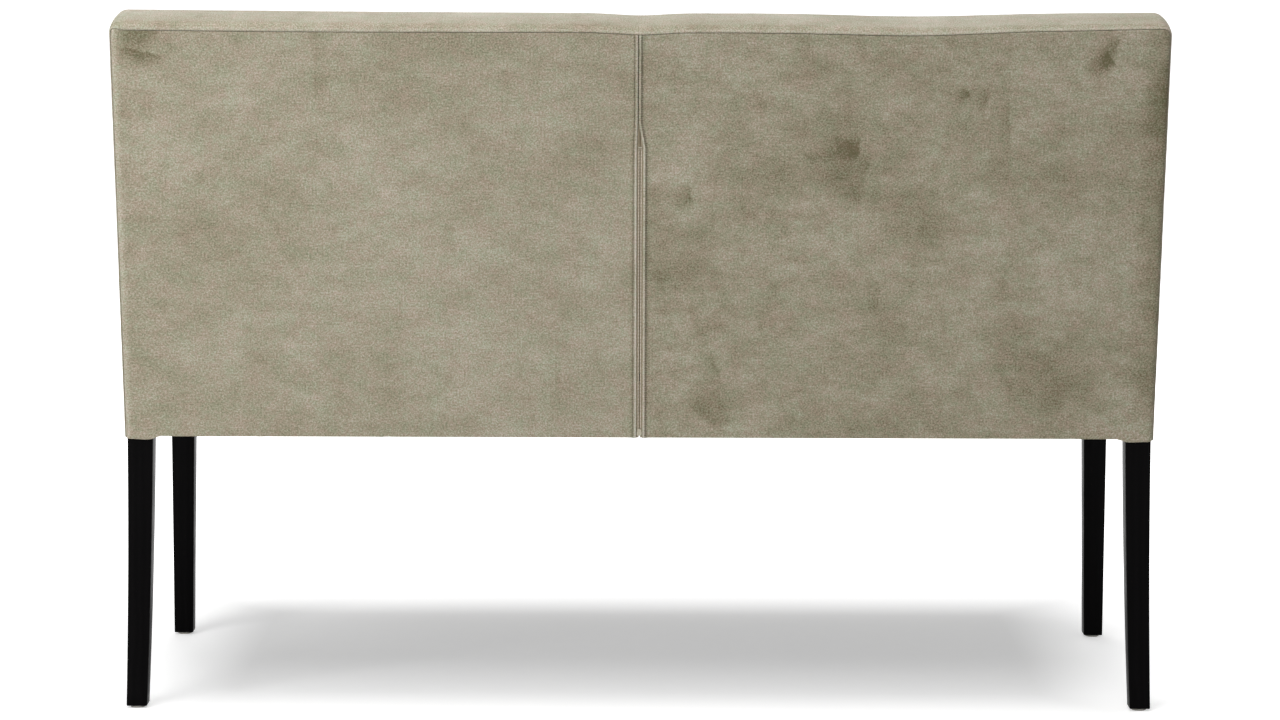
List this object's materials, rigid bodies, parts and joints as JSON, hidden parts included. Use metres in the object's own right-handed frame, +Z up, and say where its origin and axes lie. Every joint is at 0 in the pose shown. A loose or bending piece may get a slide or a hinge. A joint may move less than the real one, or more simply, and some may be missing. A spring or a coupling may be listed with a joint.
{
  "type": "dining bench",
  "caption": "Upholstered dining bench with a reclined full-width back, square black wooden legs, sabre rear legs and a removable velvet cover closed by a rear zip.",
  "frame": {"origin": "on the floor, under the middle of the bench's box", "axes": "+Z up, +X along the bench to the right as seen from the front, +Y towards the rear of the back"},
  "size_m": [1.4, 0.62, 0.9473],
  "materials": {
    "velvet": "matte",
    "black_leg": "satin",
    "frame_wood": "matte",
    "dowel_wood": "matte",
    "foam": "matte",
    "wadding": "matte",
    "webbing": "matte",
    "lining": "matte",
    "hook_tape": "matte",
    "zip_tape": "matte",
    "zip_coil": "satin",
    "zip_metal": "satin",
    "steel": "satin",
    "glide": "satin"
  },
  "bodies": {
    "bench": {"front_leg_left": "black_leg", "front_leg_right": "black_leg", "rear_leg_left": "black_leg", "rear_leg_right": "black_leg", "front_rail": "frame_wood", "rear_rail": "frame_wood", "side_rail_left": "frame_wood", "side_rail_right": "frame_wood", "centre_rail": "frame_wood", "top_rail": "frame_wood", "lower_back_rail": "frame_wood", "centre_post": "frame_wood", "corner_blocks": "frame_wood", "dowels": "dowel_wood", "corner_bolts": "steel", "bolt_washers": "steel", "bolt_nuts": "steel", "block_screws": "steel", "floor_glides": "glide", "seat_belts_group": "webbing", "back_belts_group": "webbing", "deck_cloth": "lining", "seat_foam": "foam", "seat_wadding": "wadding", "seat_edge_wadding": "wadding", "back_foam": "foam", "back_wadding": "wadding", "back_edge_wadding": "wadding", "rear_pad": "foam", "dust_cover": "lining", "hook_tapes": "hook_tape", "seat_top_cover": "velvet", "front_border": "velvet", "seat_side_left": "velvet", "seat_side_right": "velvet", "inside_back": "velvet", "top_border": "velvet", "side_border_left": "velvet", "side_border_right": "velvet", "outer_back_left": "velvet", "outer_back_right": "velvet", "zip_tape_left": "zip_tape", "zip_tape_right": "zip_tape", "zip_coil_left": "zip_coil", "zip_coil_right": "zip_coil", "zip_stops": "zip_metal"},
    "zip_slider": {"zip_slider": "zip_metal"}
  },
  "joints": [
    {"name": "zip_slide", "type": "slide", "parent": "bench", "child": "zip_slider", "axis": [0, 0.1771, 0.9842], "range_m": [0, 0.39]}
  ]
}
